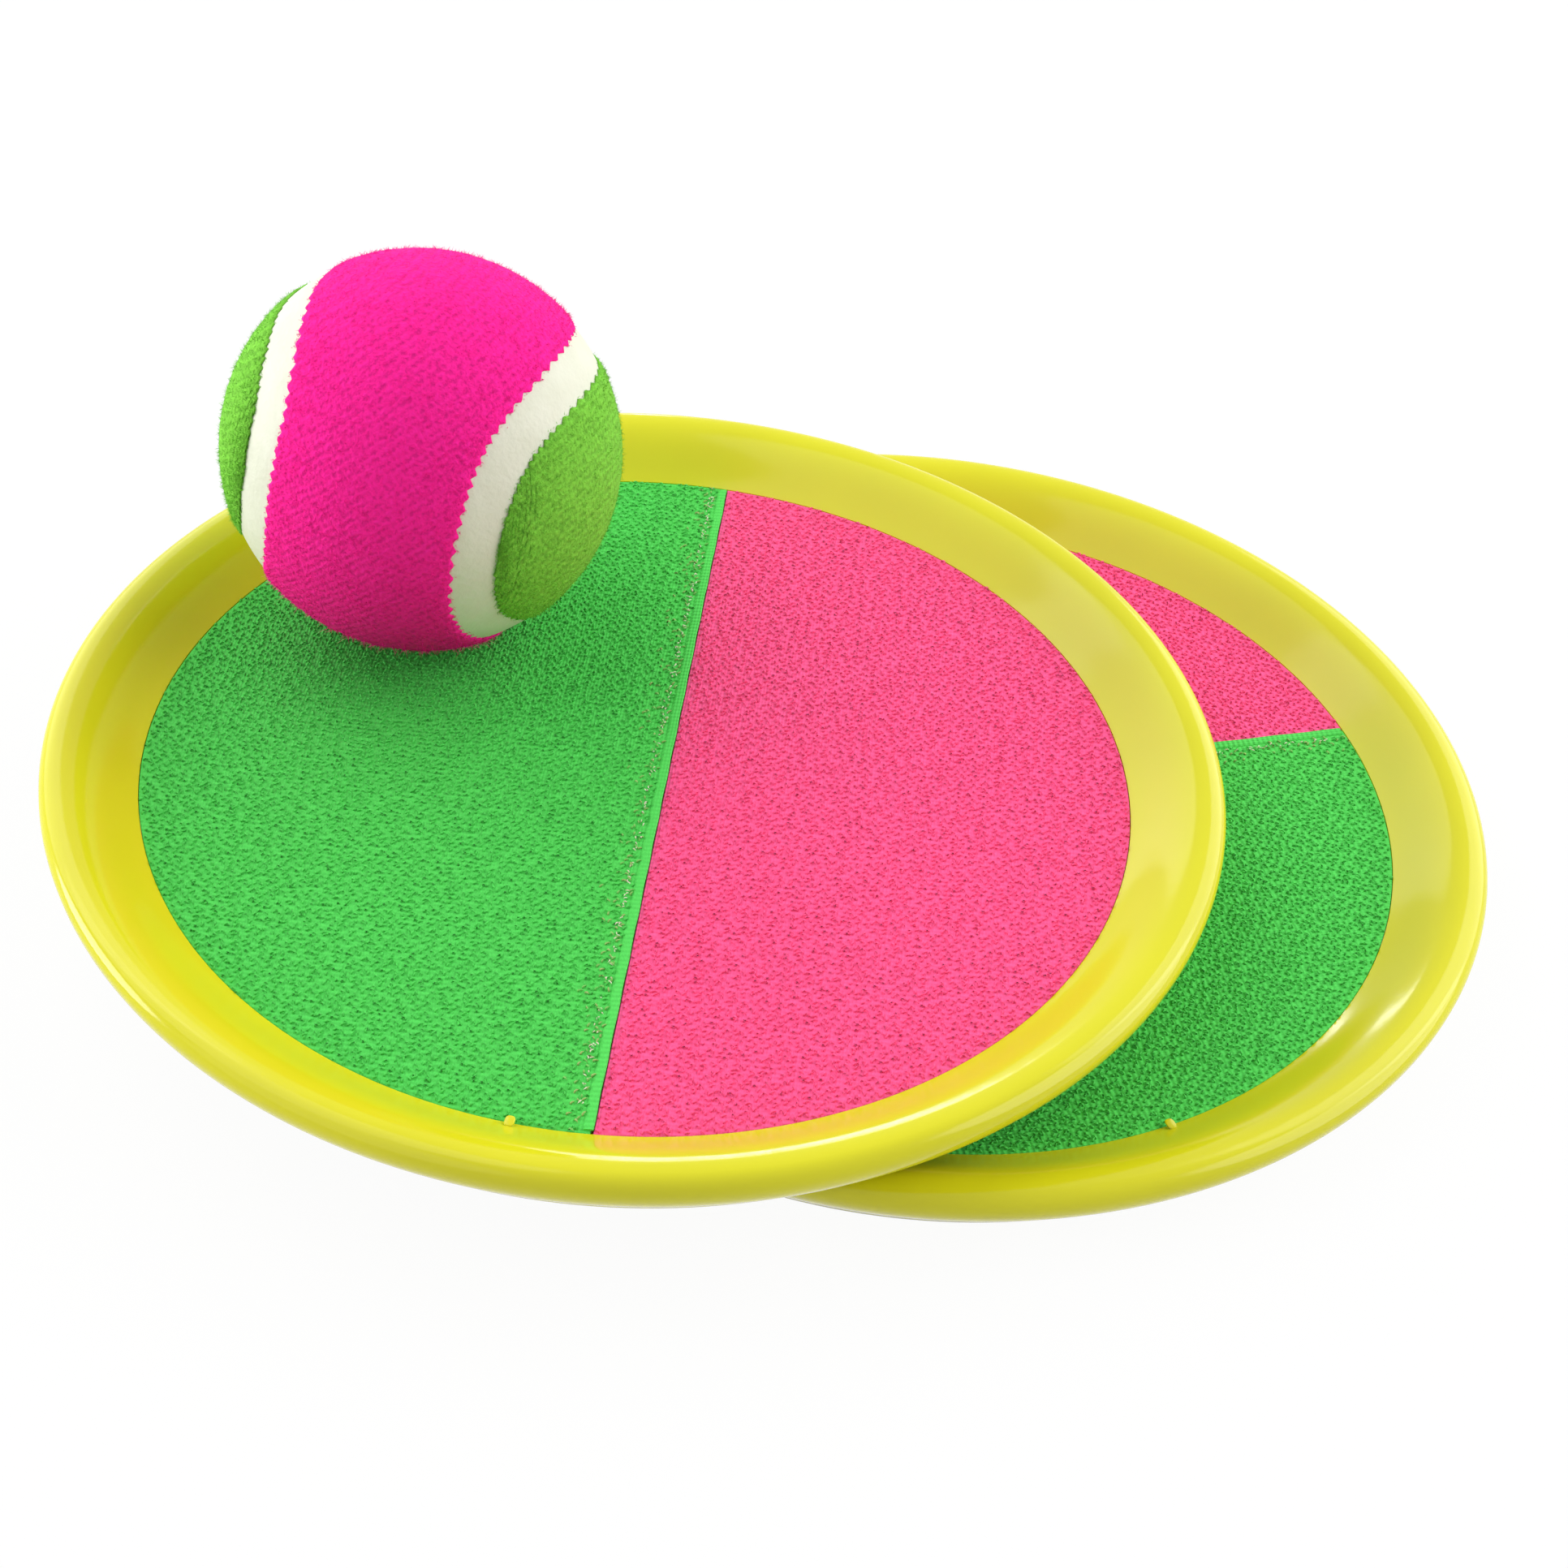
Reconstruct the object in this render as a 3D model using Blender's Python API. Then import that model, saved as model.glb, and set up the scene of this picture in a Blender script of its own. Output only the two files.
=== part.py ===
"""Hook and loop catch set: two round catching paddles, one lying on the other, and a felt ball.

Each paddle is one moulded dish with a rolled rim that is open underneath. Two pieces of hook
fabric cover its face, and two tapes staked to its back close over each other as a hand strap.
The ball stands on the upper paddle's green fabric, held by the hooks. The upper paddle lies
level: its foot ring rests on the lower rim and its strap on the lower face. Units are metres,
+Z is up, and the origin is under the middle of the set, on the surface that it lies on.
"""

import math

import bmesh
import bpy
from mathutils import Matrix, Vector

MM = 0.001

# Room left between pieces that touch, and under the lowest strap
SEAT_GAP = 0.3 * MM
FLOOR_ROOM = 0.3 * MM

# Paddle shell, across
RIM_RADIUS = 95.0 * MM
RIM_WIDTH = 15.0 * MM
CREST_INSET = 2.6 * MM
FOOT_INSET = 7.0 * MM
RIM_WALL = 1.6 * MM

# Paddle shell, up from the foot: room for the strap, then plate, fabric and rim
TAPE_THICK = 1.2 * MM
PLATE_THICK = 1.6 * MM
FABRIC_THICK = 1.4 * MM
RIM_RISE = 6.4 * MM
SHOULDER_DROP = 2.4 * MM
LIP_DROP = 0.3 * MM

# Rim curves: how far each end follows its own direction
SLOPE_START = (4.2 * MM, 2.3 * MM)
SLOPE_CREST_RUN = 4.6 * MM
WALL_TOP_RUN = 3.6 * MM
WALL_FOOT_RUN = (1.4 * MM, 3.4 * MM)
ROUND_HANDLE = 0.552

# Fabric pieces: the green one reaches past the middle
DIVISION_OFFSET = 4.4 * MM
FABRIC_JOINT = 0.4 * MM

# Hand strap and the studs that hold it
TAPE_WIDTH = 25.0 * MM
TAPE_OVERLAP = 24.0 * MM
TAPE_STEP_RUN = 8.0 * MM
TAPE_STEP_ROOM = 1.0 * MM
TAPE_FLAT = 7.0 * MM
TAPE_END = 6.0 * MM
STUD_INSET = 28.0 * MM
STUD_SPREAD = 13.0 * MM
STUD_RADIUS = 1.8 * MM
STUD_HEAD_RADIUS = 3.2 * MM
STUD_HEAD_THICK = 0.8 * MM
STUD_HEAD_ROUND = 0.4 * MM
STRAP_TURN = math.radians(23.9)

# Small moulded nub that reaches from the rim's slope over the fabric's edge
NUB_OVERHANG = 0.5 * MM
NUB_LENGTH = 3.0 * MM
NUB_WIDTH = 1.6 * MM
NUB_THICK = 0.7 * MM

# Ball
BALL_RADIUS = 32.9 * MM
FELT_PROUD = 1.3 * MM
SEAM_WIDTH = 7.2 * MM
SEAM_SHARE = 0.229
SEAM_SQUARENESS = 0.06
BALL_EDGE_ROOM = 26.5 * MM
BALL_BEARING = math.radians(140.4)
POLE_BEARING = math.radians(-99.6)
POLE_LIFT = math.radians(10.4)
BALL_LEAN = math.radians(6.7)

# How the two paddles lie
UPPER_REACH = 49.4 * MM
UPPER_BEARING = math.radians(196.7)
UPPER_FABRIC_TURN = math.radians(-92.1)
LOWER_FABRIC_TURN = math.radians(17.9)
LOWER_SHELL_TURN = math.radians(-61.1)

# Fineness of the round shapes
ROUND_STEPS = 72
SLOPE_STEPS = 6
SHOULDER_STEPS = 3
WALL_STEPS = 4
STUD_STEPS = 16
TAPE_STEPS = 30
PANEL_STEPS = 32
PANEL_ACROSS = 10
CORE_STEPS = 40
MERGE = 0.001 * MM

# Sizes that follow from the ones above
FACE_RADIUS = RIM_RADIUS - RIM_WIDTH
CREST_RADIUS = RIM_RADIUS - CREST_INSET
FOOT_RADIUS = RIM_RADIUS - FOOT_INSET
PLATE_UNDER = FLOOR_ROOM + 2 * (TAPE_THICK + SEAT_GAP)
PLATE_TOP = PLATE_UNDER + PLATE_THICK
FACE_HEIGHT = PLATE_TOP + SEAT_GAP + FABRIC_THICK
PADDLE_HEIGHT = FACE_HEIGHT + RIM_RISE
UPPER_LIFT = PADDLE_HEIGHT + SEAT_GAP
STUD_REACH = FACE_RADIUS - STUD_INSET
TAPE_BEND_REACH = STUD_REACH - TAPE_FLAT
CORE_RADIUS = BALL_RADIUS - FELT_PROUD
UPPER_STRAP_BOW = FLOOR_ROOM + UPPER_LIFT - FACE_HEIGHT - SEAT_GAP
UPPER_SHELL_TURN = UPPER_BEARING + math.pi / 2 - STRAP_TURN - math.pi * 2


def material(name, colour, roughness, coat=0.0):
    made = bpy.data.materials.new(name)
    made.use_nodes = True
    shader = made.node_tree.nodes["Principled BSDF"]
    shader.inputs["Base Color"].default_value = (*colour, 1.0)
    shader.inputs["Roughness"].default_value = roughness
    shader.inputs["Metallic"].default_value = 0.0
    shader.inputs["Coat Weight"].default_value = coat
    made.diffuse_color = (*colour, 1.0)
    return made


def empty(name, parent=None, location=(0, 0, 0)):
    made = bpy.data.objects.new(name, None)
    made.parent = parent
    made.location = location
    bpy.context.scene.collection.objects.link(made)
    return made


def solid(name, shape, parent=None, turn=0.0, finish=None):
    """An object from a bmesh, under its parent, turned about Z, with faces pointing out."""
    bmesh.ops.remove_doubles(shape, verts=shape.verts, dist=MERGE)
    bmesh.ops.recalc_face_normals(shape, faces=shape.faces)
    mesh = bpy.data.meshes.new(name)
    shape.to_mesh(mesh)
    shape.free()
    mesh.shade_smooth()
    mesh.set_sharp_from_angle(angle=math.radians(40))
    made = bpy.data.objects.new(name, mesh)
    made.parent = parent
    made.rotation_euler.z = turn
    if finish:
        mesh.materials.append(finish)
    bpy.context.scene.collection.objects.link(made)
    return made


def shaped_by(target, tool, operation):
    """Adds or cuts away a tool shape, which is kept as a wire guide."""
    tool.hide_render = True
    tool.display_type = "WIRE"
    change = target.modifiers.new(tool.name, "BOOLEAN")
    change.operation = operation
    change.solver = "EXACT"
    change.object = tool


def turned(shape, profile, steps, centre=(0.0, 0.0)):
    """Spins a closed outline of (radius, height) points about a vertical line through centre."""
    middle = Vector((*centre, 0.0))
    points = [shape.verts.new(middle + Vector((r, 0.0, z))) for r, z in profile]
    edges = [shape.edges.new((a, b)) for a, b in zip(points, points[1:] + points[:1])]
    bmesh.ops.spin(
        shape,
        geom=points + edges,
        cent=middle,
        axis=(0, 0, 1),
        angle=2 * math.pi,
        steps=steps,
        use_duplicate=False,
    )


def bezier(start, first, second, end, share):
    """A point and its direction on a cubic curve in the plane."""
    start, first, second, end = (Vector(p) for p in (start, first, second, end))
    rest = 1 - share
    point = rest**3 * start + 3 * rest**2 * share * first
    point += 3 * rest * share**2 * second + share**3 * end
    run = rest**2 * (first - start) + 2 * rest * share * (second - first)
    run += share**2 * (end - second)
    return point, run.normalized()


def rim_line(slope_steps, shoulder_steps, wall_steps):
    """Points and directions along the rim's outside, from beside the fabric over to the foot."""
    lip = Vector((FACE_RADIUS + SEAT_GAP, FACE_HEIGHT - LIP_DROP))
    crest = Vector((CREST_RADIUS, PADDLE_HEIGHT))
    side = Vector((RIM_RADIUS, PADDLE_HEIGHT - SHOULDER_DROP))
    foot = Vector((FOOT_RADIUS, 0.0))
    over = Vector((CREST_INSET * ROUND_HANDLE, 0.0))
    down = Vector((0.0, SHOULDER_DROP * ROUND_HANDLE))
    pieces = (
        (lip, lip + Vector(SLOPE_START), crest - Vector((SLOPE_CREST_RUN, 0)), crest, slope_steps),
        (crest, crest + over, side + down, side, shoulder_steps),
        (side, side - Vector((0, WALL_TOP_RUN)), foot + Vector(WALL_FOOT_RUN), foot, wall_steps),
    )
    line = [bezier(*pieces[0][:4], 0.0)]
    for *curve, steps in pieces:
        line += [bezier(*curve, step / steps) for step in range(1, steps + 1)]
    return line


def shell_profile():
    """Half the paddle's section: plate, lip, rolled rim and foot, then back along the hollow side."""
    outside = [tuple(point) for point, _ in rim_line(SLOPE_STEPS, SHOULDER_STEPS, WALL_STEPS)]
    inside = []
    for point, run in rim_line(SLOPE_STEPS // 2, SHOULDER_STEPS - 1, WALL_STEPS // 2):
        inside.append(point + RIM_WALL * Vector((run.y, -run.x)))
    inside[0].y = PLATE_UNDER
    inside[-1].y = 0.0
    inside = [tuple(point) for point in reversed(inside)]
    seat = [(0.0, PLATE_TOP), (FACE_RADIUS + SEAT_GAP, PLATE_TOP)]
    return seat + outside + inside + [(0.0, PLATE_UNDER)]


def stud_profile():
    """A stud through the strap, melted over to a flat round head below it."""
    seat = PLATE_UNDER - TAPE_THICK - 2 * SEAT_GAP
    root = PLATE_UNDER + PLATE_THICK / 2
    bottom = seat - STUD_HEAD_THICK
    return [
        (0.0, root),
        (STUD_RADIUS, root),
        (STUD_RADIUS, seat),
        (STUD_HEAD_RADIUS, seat),
        (STUD_HEAD_RADIUS, bottom + STUD_HEAD_ROUND),
        (STUD_HEAD_RADIUS - STUD_HEAD_ROUND, bottom),
        (0.0, bottom),
    ]


def stud_places(ends=(1, -1)):
    """Stud centres on the plate, with the strap running along X."""
    return [(end * STUD_REACH, side * STUD_SPREAD / 2) for end in ends for side in (1, -1)]


def nub_block(shape):
    """A flat block that starts over the fabric's edge and ends inside the slope."""
    middle = Vector((FACE_RADIUS - NUB_OVERHANG + NUB_LENGTH / 2, 0, FACE_HEIGHT + SEAT_GAP + NUB_THICK / 2))
    size = Matrix.Diagonal((NUB_LENGTH, NUB_WIDTH, NUB_THICK, 1.0))
    bmesh.ops.create_cube(shape, size=1.0, matrix=Matrix.Translation(middle) @ size)


def paddle_shell(name, frame, turn, finish):
    shape = bmesh.new()
    turned(shape, shell_profile(), ROUND_STEPS)
    shell = solid(name, shape, frame, turn, finish)

    studs = bmesh.new()
    for place in stud_places():
        turned(studs, stud_profile(), STUD_STEPS, place)
    shaped_by(shell, solid(name + "_studs", studs, frame, turn + STRAP_TURN), "UNION")

    nub = bmesh.new()
    nub_block(nub)
    shaped_by(shell, solid(name + "_nub", nub, frame, turn), "UNION")


def fabric_piece(name, frame, turn, side, finish):
    """The part of the round face on one side of the division, side 1 above it and -1 below."""
    edge = DIVISION_OFFSET + side * FABRIC_JOINT / 2
    start = math.asin(side * edge / FACE_RADIUS)
    sweep = math.pi - 2 * start
    steps = round(ROUND_STEPS * sweep / (2 * math.pi))
    shape = bmesh.new()
    outline = []
    for step in range(steps + 1):
        angle = start + sweep * step / steps
        x = FACE_RADIUS * math.cos(angle)
        y = side * FACE_RADIUS * math.sin(angle)
        outline.append(shape.verts.new((x, y, PLATE_TOP + SEAT_GAP)))
    base = shape.faces.new(outline)
    raised = bmesh.ops.extrude_face_region(shape, geom=[base])["geom"]
    top = [item for item in raised if isinstance(item, bmesh.types.BMVert)]
    bmesh.ops.translate(shape, verts=top, vec=(0, 0, FABRIC_THICK))
    solid(name, shape, frame, turn, finish)


def smooth_step(value):
    value = min(max(value, 0.0), 1.0)
    return value * value * (3 - 2 * value)


def tape_top(reach, bow, layer):
    """Height of a tape's upper side, at a distance from the middle towards its own studs."""
    across = min(abs(reach) / TAPE_BEND_REACH, 1.0)
    bend = bow * (1 - across**2) ** 2
    step_start = TAPE_OVERLAP / 2 + TAPE_STEP_ROOM
    lowered = 1 - smooth_step((reach - step_start) / TAPE_STEP_RUN)
    return PLATE_UNDER - SEAT_GAP - bend - layer * lowered * (TAPE_THICK + SEAT_GAP)


def strap_tape(name, frame, turn, end, bow, layer, finish):
    """One half of the hand strap, from its studs past the middle. Layer 1 closes under layer 0."""
    shape = bmesh.new()
    rings = []
    far = STUD_REACH + TAPE_END
    length = far + TAPE_OVERLAP / 2
    for step in range(TAPE_STEPS + 1):
        reach = far - length * step / TAPE_STEPS
        top = tape_top(reach, bow, layer)
        ring = [(half, top - drop) for half, drop in ((1, 0), (-1, 0), (-1, TAPE_THICK), (1, TAPE_THICK))]
        rings.append([shape.verts.new((end * reach, half * TAPE_WIDTH / 2, z)) for half, z in ring])
    for ring, after in zip(rings, rings[1:]):
        for corner in range(4):
            other = (corner + 1) % 4
            shape.faces.new((ring[corner], ring[other], after[other], after[corner]))
    shape.faces.new(rings[0])
    shape.faces.new(rings[-1])
    tape = solid(name, shape, frame, turn, finish)

    holes = bmesh.new()
    radius = STUD_RADIUS + SEAT_GAP
    room = TAPE_THICK
    seat = PLATE_UNDER - SEAT_GAP
    outline = [
        (0.0, seat + room),
        (radius, seat + room),
        (radius, seat - TAPE_THICK - room),
        (0.0, seat - TAPE_THICK - room),
    ]
    for place in stud_places((end,)):
        turned(holes, outline, STUD_STEPS, place)
    shaped_by(tape, solid(name + "_holes", holes, frame, turn), "DIFFERENCE")


def seam_point(angle):
    """A point of the closed seam that parts a unit sphere into two like panels."""
    wide = 1 - SEAM_SHARE
    rise = 2 * math.sqrt(wide * SEAM_SHARE)
    point = Vector(
        (
            wide * math.cos(angle) + SEAM_SHARE * math.cos(3 * angle),
            wide * math.sin(angle) - SEAM_SHARE * math.sin(3 * angle),
            rise * math.sin(2 * angle) + SEAM_SQUARENESS * math.sin(6 * angle),
        )
    )
    return point.normalized()


def panel_edge(angle):
    """The seam's middle line moved half the seam's width into the panel around +Z."""
    nearby = 0.001
    middle = seam_point(angle)
    along = seam_point(angle + nearby) - seam_point(angle - nearby)
    inward = middle.cross(along).normalized()
    half = SEAM_WIDTH / 2 / CORE_RADIUS
    return middle * math.cos(half) + inward * math.sin(half)


def panel_row(step):
    """Directions across the panel, on a great circle between its two mirrored edges."""
    edge = panel_edge(-math.pi / 4 + math.pi * step / PANEL_STEPS)
    if step in (0, PANEL_STEPS):
        return [edge]
    mirrored = Vector((-edge.y, -edge.x, edge.z))
    return [edge.slerp(mirrored, place / PANEL_ACROSS) for place in range(PANEL_ACROSS + 1)]


def skin(shape, rows):
    """Joins rows of points into one sheet whose first and last rows are single points."""
    for row, after in zip(rows, rows[1:]):
        if len(row) == 1 or len(after) == 1:
            tip, wide = (row[0], after) if len(row) == 1 else (after[0], row)
            for a, b in zip(wide, wide[1:]):
                shape.faces.new((tip, a, b))
            continue
        for place in range(PANEL_ACROSS):
            shape.faces.new((row[place], row[place + 1], after[place + 1], after[place]))


def felt_panel(name, frame, other_side, finish):
    """One of the two felt pieces, a thick dog-bone sheet on the core."""
    shape = bmesh.new()
    directions = [panel_row(step) for step in range(PANEL_STEPS + 1)]
    if other_side:
        directions = [[Vector((-d.y, d.x, -d.z)) for d in row] for row in directions]
    sheets = []
    for radius in (CORE_RADIUS + SEAT_GAP, BALL_RADIUS):
        rows = [[shape.verts.new(radius * d) for d in row] for row in directions]
        skin(shape, rows)
        sheets.append([row[0] for row in rows] + [row[-1] for row in rows[-2:0:-1]])
    inner, outer = sheets
    for place in range(len(inner)):
        before = place - 1
        shape.faces.new((inner[before], inner[place], outer[place], outer[before]))
    solid(name, shape, frame, 0.0, finish)


def ball_turn():
    """How the ball lies: its magenta waist faces forward, and the panel stands nearly upright."""
    level = math.cos(POLE_LIFT)
    pole = Vector((level * math.cos(POLE_BEARING), level * math.sin(POLE_BEARING), math.sin(POLE_LIFT)))
    up = Vector((0, 0, 1))
    up = (up - up.dot(pole) * pole).normalized()
    long_way = math.cos(BALL_LEAN) * up + math.sin(BALL_LEAN) * up.cross(pole)
    short_way = pole.cross(long_way)
    x = (long_way + short_way) / math.sqrt(2)
    y = (short_way - long_way) / math.sqrt(2)
    return Matrix((x, y, pole)).transposed()


def ball(frame, rubber, magenta, lime):
    frame.rotation_euler = ball_turn().to_euler()
    core = bmesh.new()
    bmesh.ops.create_uvsphere(core, u_segments=CORE_STEPS, v_segments=CORE_STEPS // 2, radius=CORE_RADIUS)
    solid("ball_core", core, frame, 0.0, rubber)
    felt_panel("ball_magenta_felt", frame, False, magenta)
    felt_panel("ball_lime_felt", frame, True, lime)


def paddle(name, frame, shell_turn, fabric_turn, bow, finishes):
    paddle_shell(name + "_shell", frame, shell_turn, finishes["plastic"])
    fabric_piece(name + "_green_hooks", frame, fabric_turn, -1, finishes["green"])
    fabric_piece(name + "_pink_hooks", frame, fabric_turn, 1, finishes["pink"])
    strap_turn = shell_turn + STRAP_TURN
    strap_tape(name + "_strap_hook_tape", frame, strap_turn, 1, bow, 0, finishes["tape"])
    strap_tape(name + "_strap_loop_tape", frame, strap_turn, -1, bow, 1, finishes["tape"])


def middle_of(rounds, axis):
    """Half way between the lowest and highest reach of some (centre, radius) rounds."""
    low = min(centre[axis] - radius for centre, radius in rounds)
    high = max(centre[axis] + radius for centre, radius in rounds)
    return (low + high) / 2


def main():
    for old in list(bpy.data.objects):
        bpy.data.objects.remove(old, do_unlink=True)

    finishes = {
        "plastic": material("yellow_plastic", (0.84, 0.78, 0.04), 0.28, 0.3),
        "green": material("green_hook_fabric", (0.075, 0.556, 0.086), 0.75),
        "pink": material("pink_hook_fabric", (0.929, 0.094, 0.256), 0.75),
        "tape": material("black_tape", (0.02, 0.02, 0.022), 0.85),
    }
    rubber = material("off_white_rubber", (0.81, 0.84, 0.70), 0.6)
    magenta = material("magenta_felt", (0.863, 0.017, 0.311), 0.95)
    lime = material("lime_felt", (0.25, 0.60, 0.07), 0.95)

    upper_place = Vector((math.cos(UPPER_BEARING), math.sin(UPPER_BEARING), 0)) * UPPER_REACH
    upper_place.z = UPPER_LIFT
    ball_reach = FACE_RADIUS - BALL_EDGE_ROOM
    ball_place = Vector((math.cos(BALL_BEARING), math.sin(BALL_BEARING), 0)) * ball_reach
    ball_place.z = FACE_HEIGHT + SEAT_GAP + BALL_RADIUS

    rounds = [((0, 0), RIM_RADIUS), (upper_place, RIM_RADIUS), (upper_place + ball_place, BALL_RADIUS)]
    root = empty("catch_set", None, (-middle_of(rounds, 0), -middle_of(rounds, 1), 0))
    lower = empty("lower_paddle", root)
    upper = empty("upper_paddle", root, upper_place)
    held = empty("ball", upper, ball_place)

    paddle("lower", lower, LOWER_SHELL_TURN, LOWER_FABRIC_TURN, 0.0, finishes)
    paddle("upper", upper, UPPER_SHELL_TURN, UPPER_FABRIC_TURN, UPPER_STRAP_BOW, finishes)
    ball(held, rubber, magenta, lime)
    bpy.context.view_layer.update()


main()
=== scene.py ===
import math

import bpy
import numpy as np
from mathutils import Matrix, Vector


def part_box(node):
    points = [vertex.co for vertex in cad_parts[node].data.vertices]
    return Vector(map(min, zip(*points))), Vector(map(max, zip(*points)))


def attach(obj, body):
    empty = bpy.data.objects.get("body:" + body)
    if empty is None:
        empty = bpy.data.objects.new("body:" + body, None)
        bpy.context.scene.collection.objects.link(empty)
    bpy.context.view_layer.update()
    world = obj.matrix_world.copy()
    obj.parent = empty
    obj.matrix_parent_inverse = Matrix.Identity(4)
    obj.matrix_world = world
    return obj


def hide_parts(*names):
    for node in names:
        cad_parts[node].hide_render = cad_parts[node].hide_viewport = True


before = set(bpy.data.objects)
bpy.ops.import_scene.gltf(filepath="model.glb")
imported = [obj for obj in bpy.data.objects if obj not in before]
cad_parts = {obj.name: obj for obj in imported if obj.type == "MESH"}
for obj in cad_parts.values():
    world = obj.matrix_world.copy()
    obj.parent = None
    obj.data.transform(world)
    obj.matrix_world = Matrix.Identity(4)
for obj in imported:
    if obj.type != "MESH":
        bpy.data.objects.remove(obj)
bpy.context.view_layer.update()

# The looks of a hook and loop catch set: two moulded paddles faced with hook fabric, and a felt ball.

MM = 0.001

# Camera, from the photograph's outlines, in its own 1932 pixel frame
PHOTO_PIXELS = 1932
SENSOR = 36.0
FOCAL_PIXELS = 3170.4
CENTRE_PIXELS = (970.6, 965.4)
CAMERA_PLACE = (0.4 * MM, -325.4 * MM, 295.2 * MM)
CAMERA_PITCH = math.radians(41.04)
CAMERA_ROLL = math.radians(-5.56)
CLIP_START = 10 * MM

# The paddle's section, as moulded
RIM_WIDTH = 15.0 * MM
CREST_INSET = 2.6 * MM
FOOT_INSET = 7.0 * MM
RIM_WALL = 1.6 * MM
RIM_RISE = 6.4 * MM
SHOULDER_DROP = 2.4 * MM
LIP_DROP = 0.3 * MM
PLATE_THICK = 1.6 * MM
FABRIC_THICK = 1.4 * MM
SEAT_GAP = 0.3 * MM
TAPE_THICK = 1.2 * MM
SLOPE_START = (4.2 * MM, 2.3 * MM)
SLOPE_CREST_RUN = 4.6 * MM
WALL_TOP_RUN = 3.6 * MM
WALL_FOOT_RUN = (1.4 * MM, 3.4 * MM)
ROUND_HANDLE = 0.552
FOOT_BEVEL_OUT = (0.15 * MM, 0.25 * MM)
FOOT_BEVEL_IN = (0.25 * MM, 0.0)
PLATE_SHARES = (0.25, 0.5, 0.75, 0.9)
NUB_OVERHANG = 0.35 * MM
NUB_LENGTH = 2.0 * MM
NUB_WIDTH = 1.5 * MM
NUB_THICK = 0.45 * MM
NUB_SQUARENESS = 0.7
NUB_RINGS = (30, 60, 90, 120, 150)

# Fabric
DIVISION_OFFSET = 4.4 * MM
FABRIC_JOINT = 0.4 * MM
ROW_PITCH = 0.95 * MM
HOOK_PITCH = 1.1 * MM
FLECK_ZONE = 6.5 * MM

# The fabric's ground: how far it lies below the face and reaches past it, then its soft edge, as
# steps inwards and below its top in millimetres, and its flat rings as shares of the edge
GROUND_DROP = 0.32 * MM
GROUND_REACH = 0.22 * MM
GROUND_EDGE = ((0.0, 0.2), (0.06, 0.07), (0.2, 0.0), (1.0, 0.0))
GROUND_RINGS = (0.75, 0.5, 0.25)

# One hook: its line as (out, up) and its radii in millimetres, then how far the hooks differ. Their
# scatter is across and along the rows, their tint a mean and a spread, and a fleck's strength a range
HOOK_LINE = ((0.0, -0.1), (0.06, 0.22), (0.38, 0.3), (0.84, 0.08))
HOOK_RADII = (0.18, 0.19, 0.18, 0.0)
HOOK_TURN = math.radians(48)
HOOK_TURN_SPREAD = 0.45
HOOK_SIZE_SPREAD = 0.14
HOOK_SIZE_LIMITS = (0.7, 1.25)
HOOK_SCATTER = (0.13 * MM, 0.18 * MM)
HOOK_EDGE_ROOM = 0.15 * MM
HOOK_JOINT_ROOM = 0.3 * MM
HOOK_SELVEDGE_ROOM = 0.2 * MM
HOOK_TINT = (0.5, 0.27)
FLECK_SHARE = 0.8
FLECK_STRENGTH = (0.25, 0.85)

# The green piece's selvedge: its section as (out, up) in millimetres, and its slight wave
SELVEDGE_WIDTH = 1.2 * MM
SELVEDGE_LAP = 0.35 * MM
SELVEDGE_END_ROOM = 0.3 * MM
SELVEDGE_WAVE = 0.05 * MM
SELVEDGE_WAVE_RUN = 1.7 * MM
SELVEDGE_SECTION = (
    (0.0, 0.1), (0.0, 0.25), (-0.18, 0.42), (-0.6, 0.36),
    (-1.2, 0.3), (-1.55, 0.12), (-1.6, -0.3), (-0.6, 0.0),
)

# Thread ends beside the selvedge. Their lengths, sink and radii are in millimetres
THREAD_COUNT = 190
THREAD_END_ROOM = 2.5 * MM
THREAD_INSET = 2.2 * MM
THREAD_INSET_SPREAD = 0.22 * MM
THREAD_LENGTHS = (0.3, 0.9)
THREAD_TURN_SPREAD = 0.7
THREAD_BOW = 0.12 * MM
THREAD_SINK = 0.25
THREAD_RADII = (0.06, 0.10, 0.11, 0.08, 0.0)

# Strap
TAPE_WIDTH = 25.0 * MM
TAPE_OVERLAP = 24.0 * MM
TAPE_STEP_RUN = 8.0 * MM
TAPE_STEP_ROOM = 1.0 * MM
TAPE_FLAT = 7.0 * MM
TAPE_END = 6.0 * MM
TAPE_EDGE = 0.3 * MM
STUD_INSET = 28.0 * MM
STUD_SPREAD = 13.0 * MM
STUD_RADIUS = 1.8 * MM
STUD_HEAD_RADIUS = 3.2 * MM
STUD_HEAD_THICK = 0.8 * MM
STUD_HEAD_ROUND = 0.4 * MM
STUD_HEAD_DISH = (0.08 * MM, 0.12 * MM)
STRAP_TURN = math.radians(23.9)

# Ball
FELT_PROUD = 1.3 * MM
RUBBER_PROUD = 0.8 * MM
FELT_SHOULDER = 1.6 * MM
FELT_EDGE_SHARE = 0.7
FELT_STITCH = 1.2 * MM
FELT_UNDER_ROOM = 0.05 * MM
FELT_RIPPLE = 0.035 * MM
FELT_RIPPLE_START = 0.4 * MM
SEAM_WIDTH = 7.2 * MM
SEAM_SHARE = 0.229
SEAM_SQUARENESS = 0.06
POLE_BEARING = math.radians(-99.6)
POLE_LIFT = math.radians(10.4)
BALL_LEAN = math.radians(6.7)

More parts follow.
